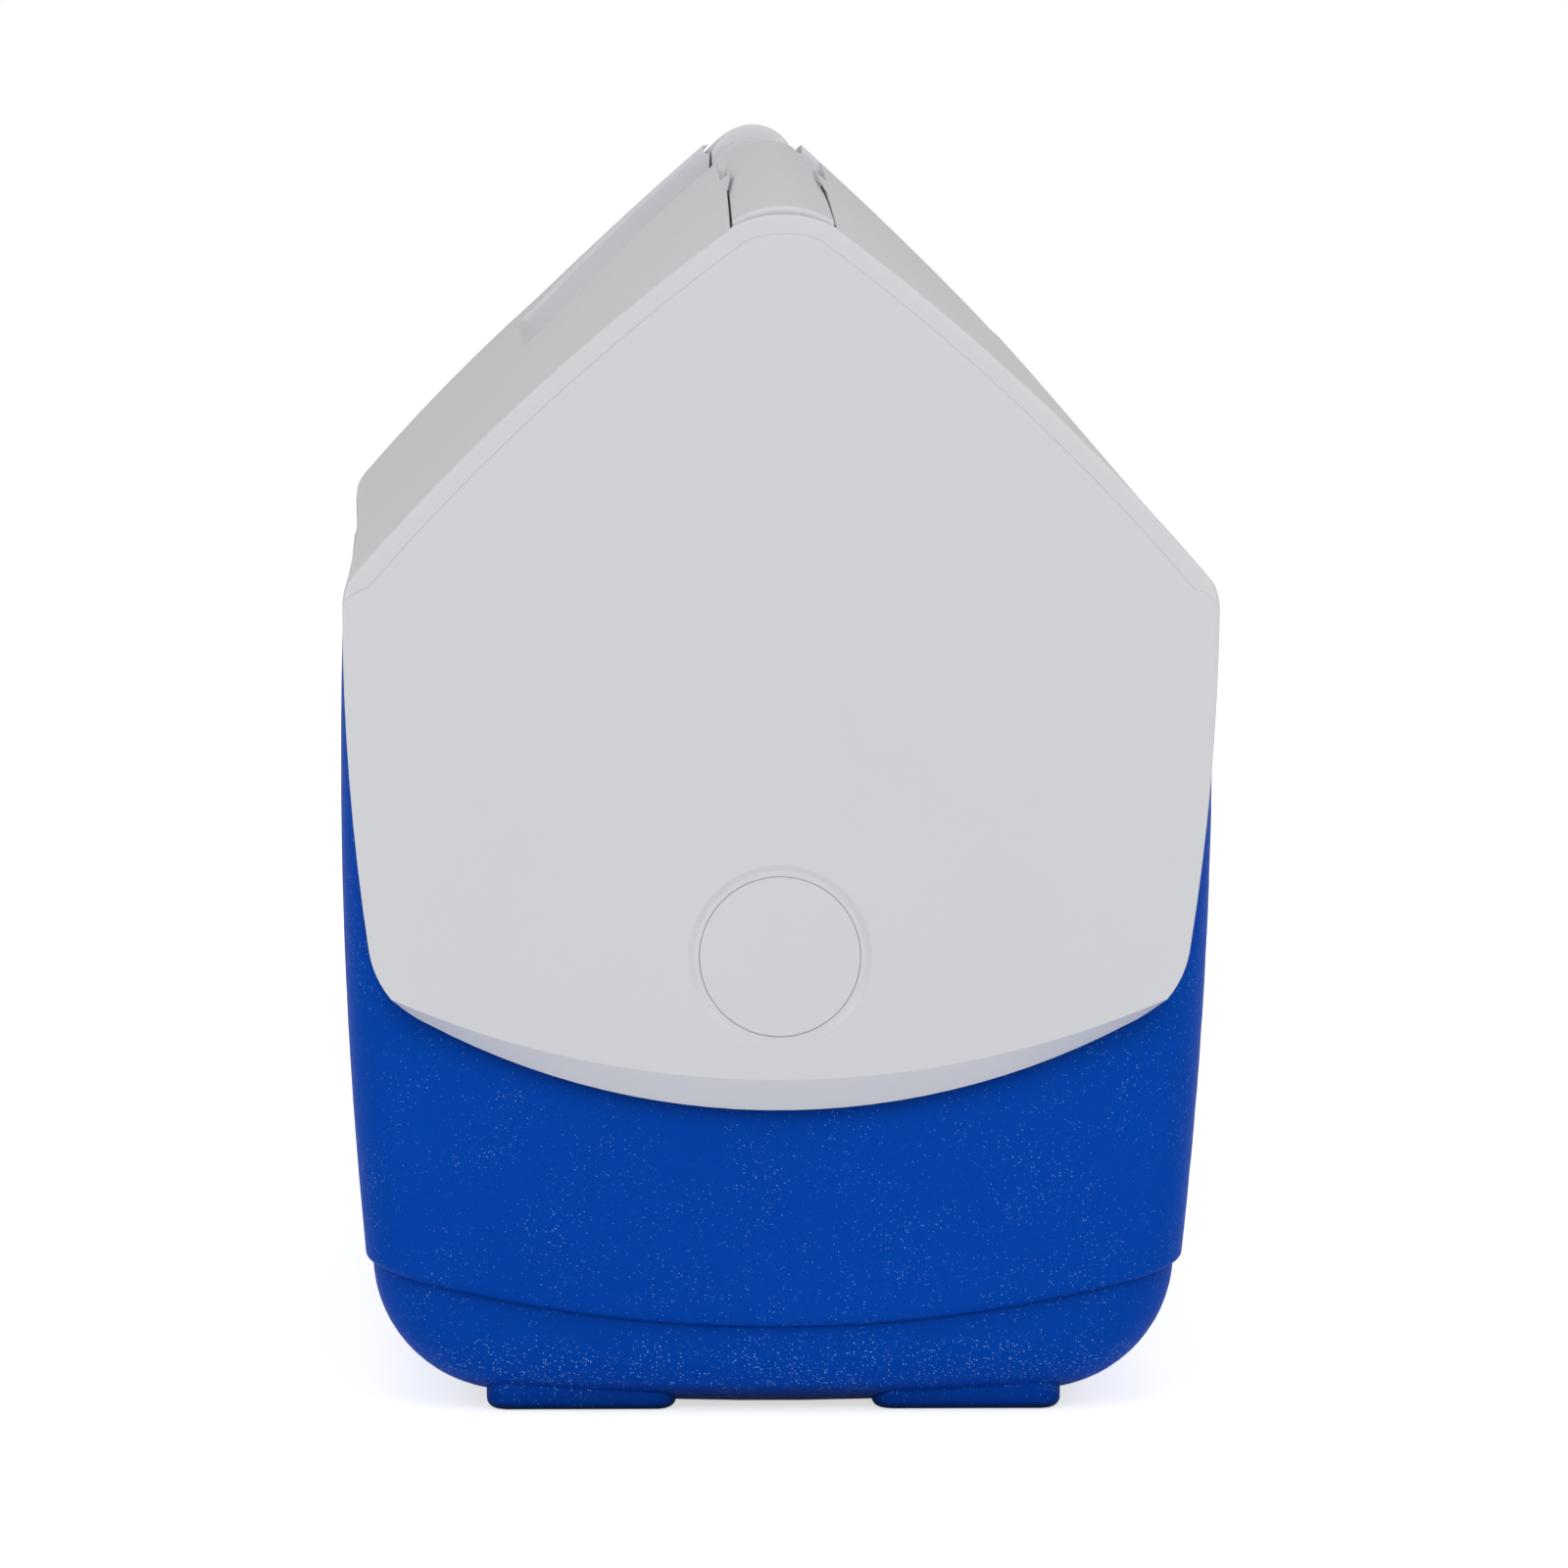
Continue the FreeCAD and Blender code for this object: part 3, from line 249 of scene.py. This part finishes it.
def pebbled_blue():
    """Deep blue polyethylene with a moulded pebble grain. Glints are painted into the colour on the crests
    of some pebbles, mostly low on the body, and shade is painted into the colour in corners and under
    overhangs."""
    s = Surface("blue_pebble")
    tone = s.remap(s.noise(9.0, 2.0), 0.35, 0.65, 0.0, 1.0)
    base = s.mix(tone, (0.0, 0.064, 0.455), (0.0, 0.069, 0.480))
    pebble = s.cells(PEBBLES_PER_M)
    crest = s.remap(pebble.outputs["Distance"], 0.42, 0.16, 0.0, 1.0)
    # painted highlights: light glint spots painted into the base colour on some pebble crests
    chance = s.math("MULTIPLY", s.channel(pebble.outputs["Color"], "Red"), s.painted_glint_density())
    glint = s.math("MULTIPLY", crest, s.remap(chance, 0.54, 0.86, 0.0, 1.0))
    with_painted_glints = s.mix_sockets(glint, base, (0.28, 0.54, 0.95))
    # painted shade: the colour is darkened in corners and under overhangs
    s.colour(s.painted_nook_shade(with_painted_glints, PAINTED_SHADE_REACH))
    s.specular(0.035)
    s.roughness(s.remap(s.noise(500.0, 2.0), 0.3, 0.7, 0.30, 0.44))
    edges = s.eased_edges(0.9 * MM)
    pebbles = s.bump(crest, PEBBLE_DEPTH, edges)
    seam = s.bump(s.mould_line(), SEAM_DEPTH, pebbles)
    s.normal(s.bump(s.noise(2600.0, 2.0), 0.04 * MM, seam))
    return s.material


def satin_plastic(name, light, dark, rough_low, rough_high, edge):
    """Moulded plastic: faint spark texture, slight waviness and mottling."""
    s = Surface(name)
    tone = s.noise(14.0, 3.0)
    s.colour(s.mix(s.remap(tone, 0.3, 0.7, 0.0, 1.0), light, dark))
    rough = s.noise(1500.0, 2.0)
    s.roughness(s.remap(rough, 0.25, 0.75, rough_low, rough_high))
    edges = s.eased_edges(edge)
    waves = s.bump(s.noise(22.0, 1.0), WAVE_DEPTH, edges)
    s.normal(s.bump(s.noise(1100.0, 2.0, 0.5), SPARK_DEPTH, waves))
    return s


def white_plastic():
    s = satin_plastic("white_satin", (0.785, 0.795, 0.825), (0.77, 0.781, 0.813), 0.27, 0.33, 0.6 * MM)
    s.specular(0.45)
    return s.material


def liner_plastic():
    s = satin_plastic("liner_white", (0.79, 0.79, 0.78), (0.77, 0.77, 0.755), 0.28, 0.38, 0.7 * MM)
    return s.material


def hub_plastic():
    s = satin_plastic("hub_grey", (0.50, 0.51, 0.52), (0.46, 0.47, 0.48), 0.35, 0.5, 0.3 * MM)
    return s.material


def poured_foam():
    """Rigid foam with small open cells, seen only if the chest is opened up."""
    s = Surface("foam_cells")
    bubbles = s.cells(1400.0)
    tone = s.noise(30.0, 4.0)
    s.colour(s.mix(s.remap(tone, 0.3, 0.7, 0.0, 1.0), (0.85, 0.84, 0.79), (0.80, 0.78, 0.71)))
    s.roughness(s.remap(bubbles.outputs["Distance"], 0.0, 1.0, 0.75, 0.95))
    s.normal(s.bump(bubbles.outputs["Distance"], 0.4 * MM))
    return s.material


def brushed_steel():
    s = Surface("steel_zinc")
    s.shader.inputs["Metallic"].default_value = 1.0
    streaks = s.noise(900.0, 2.0, 0.5, (1.0, 0.08, 1.0))
    s.colour(s.mix(streaks, (0.60, 0.61, 0.62), (0.50, 0.51, 0.53)))
    s.roughness(s.remap(streaks, 0.3, 0.7, 0.25, 0.42))
    s.normal(s.bump(streaks, 0.01 * MM))
    return s.material


SLOT_MATERIALS = {
    "blue_plastic": pebbled_blue(),
    "white_plastic": white_plastic(),
    "liner_plastic": liner_plastic(),
    "hub_plastic": hub_plastic(),
    "foam": poured_foam(),
    "steel": brushed_steel(),
}


def dress_cad_nodes():
    for part in frame["record"]["subparts"]:
        piece = nodes[part["node"]]
        piece.data.materials.clear()
        piece.data.materials.append(SLOT_MATERIALS[part["material_slot"]])


# ---- return spring ---------------------------------------------------------
SPRING_WIRE_R = 0.5 * MM
SPRING_TURNS = 6
STEPS_PER_TURN = 40
WIRE_SIDES = 10


def coil_mesh(low, high):
    """Round wire wound along Y inside the box from low to high."""
    centre = (low + high) / 2.0
    radius = (high.x - low.x) / 2.0 - SPRING_WIRE_R
    length = high.y - low.y - 2.0 * SPRING_WIRE_R
    steps = SPRING_TURNS * STEPS_PER_TURN
    coil = bmesh.new()
    rings = []
    for i in range(steps + 1):
        angle = 2.0 * math.pi * i / STEPS_PER_TURN
        outward = Vector((math.cos(angle), 0.0, math.sin(angle)))
        middle = Vector((centre.x, low.y + SPRING_WIRE_R + length * i / steps, centre.z))
        middle += outward * radius
        ring = []
        for k in range(WIRE_SIDES):
            turn = 2.0 * math.pi * k / WIRE_SIDES
            aside = outward * math.cos(turn) + Vector((0.0, math.sin(turn), 0.0))
            ring.append(coil.verts.new(middle + aside * SPRING_WIRE_R))
        rings.append(ring)
    for ring, following in zip(rings, rings[1:]):
        for k in range(WIRE_SIDES):
            j = (k + 1) % WIRE_SIDES
            face = coil.faces.new((ring[k], ring[j], following[j], following[k]))
            face.smooth = True
    coil.faces.new(rings[0])
    coil.faces.new(rings[-1])
    bmesh.ops.recalc_face_normals(coil, faces=coil.faces)
    mesh = bpy.data.meshes.new("coil_spring")
    coil.to_mesh(mesh)
    coil.free()
    return mesh


def coil_spring():
    """Stands on the hub's ledge, where the CAD return spring was."""
    low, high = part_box("return_spring")
    piece = bpy.data.objects.new("coil_spring", coil_mesh(low, high))
    bpy.context.scene.collection.objects.link(piece)
    piece.data.materials.append(SLOT_MATERIALS["steel"])
    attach(piece, "chest")
    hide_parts("return_spring")
    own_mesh(piece)


dress_cad_nodes()
coil_spring()


# ---- floor, light and camera ----------------------------------------------
def floor():
    mesh = bpy.data.meshes.new("floor")
    signs = ((-1, -1), (1, -1), (1, 1), (-1, 1))
    corners = [(sx * FLOOR_HALF, sy * FLOOR_HALF, 0.0) for sx, sy in signs]
    mesh.from_pydata(corners, [], [(0, 1, 2, 3)])
    piece = bpy.data.objects.new("floor", mesh)
    bpy.context.scene.collection.objects.link(piece)
    s = Surface("pale_floor")
    tone = s.noise(3.0, 2.0)
    s.colour(s.mix(tone, (0.90, 0.90, 0.90), (0.88, 0.88, 0.885)))
    s.roughness(s.remap(s.noise(40.0), 0.3, 0.7, 0.75, 0.9))
    s.specular(0.1)
    s.shader.inputs["Emission Color"].default_value = (1.0, 1.0, 1.0, 1.0)
    glow = s.remap(s.seen_directly(), 0.0, 1.0, FLOOR_GLOW_BOUNCED, FLOOR_GLOW_SEEN)
    s.link(glow, s.shader.inputs["Emission Strength"])
    mesh.materials.append(s.material)


def softbox(name, azimuth, elevation, distance, size, power):
    """Square area light aimed at the chest. Azimuth 0 is on the button's side."""
    data = bpy.data.lights.new(name, "AREA")
    data.shape = "SQUARE"
    data.size = size
    data.energy = power
    light = bpy.data.objects.new(name, data)
    bpy.context.scene.collection.objects.link(light)
    a = math.radians(azimuth)
    e = math.radians(elevation)
    away = Vector((math.sin(a) * math.cos(e), -math.cos(a) * math.cos(e), math.sin(e)))
    target = (cad_low + cad_high) / 2.0
    light.location = target + away * distance
    light.rotation_mode = "QUATERNION"
    light.rotation_quaternion = (-away).to_track_quat("-Z", "Y")


def studio_world():
    """Even white surroundings, seen as pure white behind the chest."""
    world = bpy.data.worlds.new("studio")
    bpy.context.scene.world = world
    world.use_nodes = True
    tree = world.node_tree
    lit = tree.nodes["Background"]
    lit.inputs["Color"].default_value = (1.0, 1.0, 1.0, 1.0)
    lit.inputs["Strength"].default_value = WORLD_LIGHT
    seen = tree.nodes.new("ShaderNodeBackground")
    seen.inputs["Strength"].default_value = 1.0
    paths = tree.nodes.new("ShaderNodeLightPath")
    choose = tree.nodes.new("ShaderNodeMixShader")
    tree.links.new(paths.outputs["Is Camera Ray"], choose.inputs["Fac"])
    tree.links.new(lit.outputs["Background"], choose.inputs[1])
    tree.links.new(seen.outputs["Background"], choose.inputs[2])
    tree.links.new(choose.outputs["Shader"], tree.nodes["World Output"].inputs["Surface"])


def lighting():
    for side in (-1.0, 1.0):
        softbox("front_%+d" % side, side * FRONT_AZIMUTH, BOX_ELEVATION, BOX_DISTANCE, BOX_SIZE, FRONT_POWER)
        softbox("back_%+d" % side, side * BACK_AZIMUTH, BOX_ELEVATION, BOX_DISTANCE, BOX_SIZE, BACK_POWER)
    softbox("overhead", 0.0, OVERHEAD_ELEVATION, OVERHEAD_DISTANCE, OVERHEAD_SIZE, OVERHEAD_POWER)
    studio_world()


def camera():
    """Stands left of the chest's middle line, a little above it."""
    data = bpy.data.cameras.new("camera")
    data.sensor_width = 36.0
    data.lens = LENS
    data.clip_start = 0.05
    data.clip_end = 200.0
    piece = bpy.data.objects.new("camera", data)
    bpy.context.scene.collection.objects.link(piece)
    yaw = math.radians(CAMERA_YAW)
    pitch = math.radians(CAMERA_PITCH)
    roll = math.radians(CAMERA_ROLL)
    turn = Matrix.Rotation(-yaw, 4, "Z") @ Matrix.Rotation(math.pi / 2.0 - pitch, 4, "X")
    turn = turn @ Matrix.Rotation(roll, 4, "Z")
    stand = (CAMERA_X, cad_low.y - CAMERA_BACK, CAMERA_HEIGHT)
    piece.matrix_world = Matrix.Translation(stand) @ turn
    bpy.context.scene.camera = piece


bpy.context.scene.view_settings.view_transform = "Standard"
floor()
lighting()
camera()
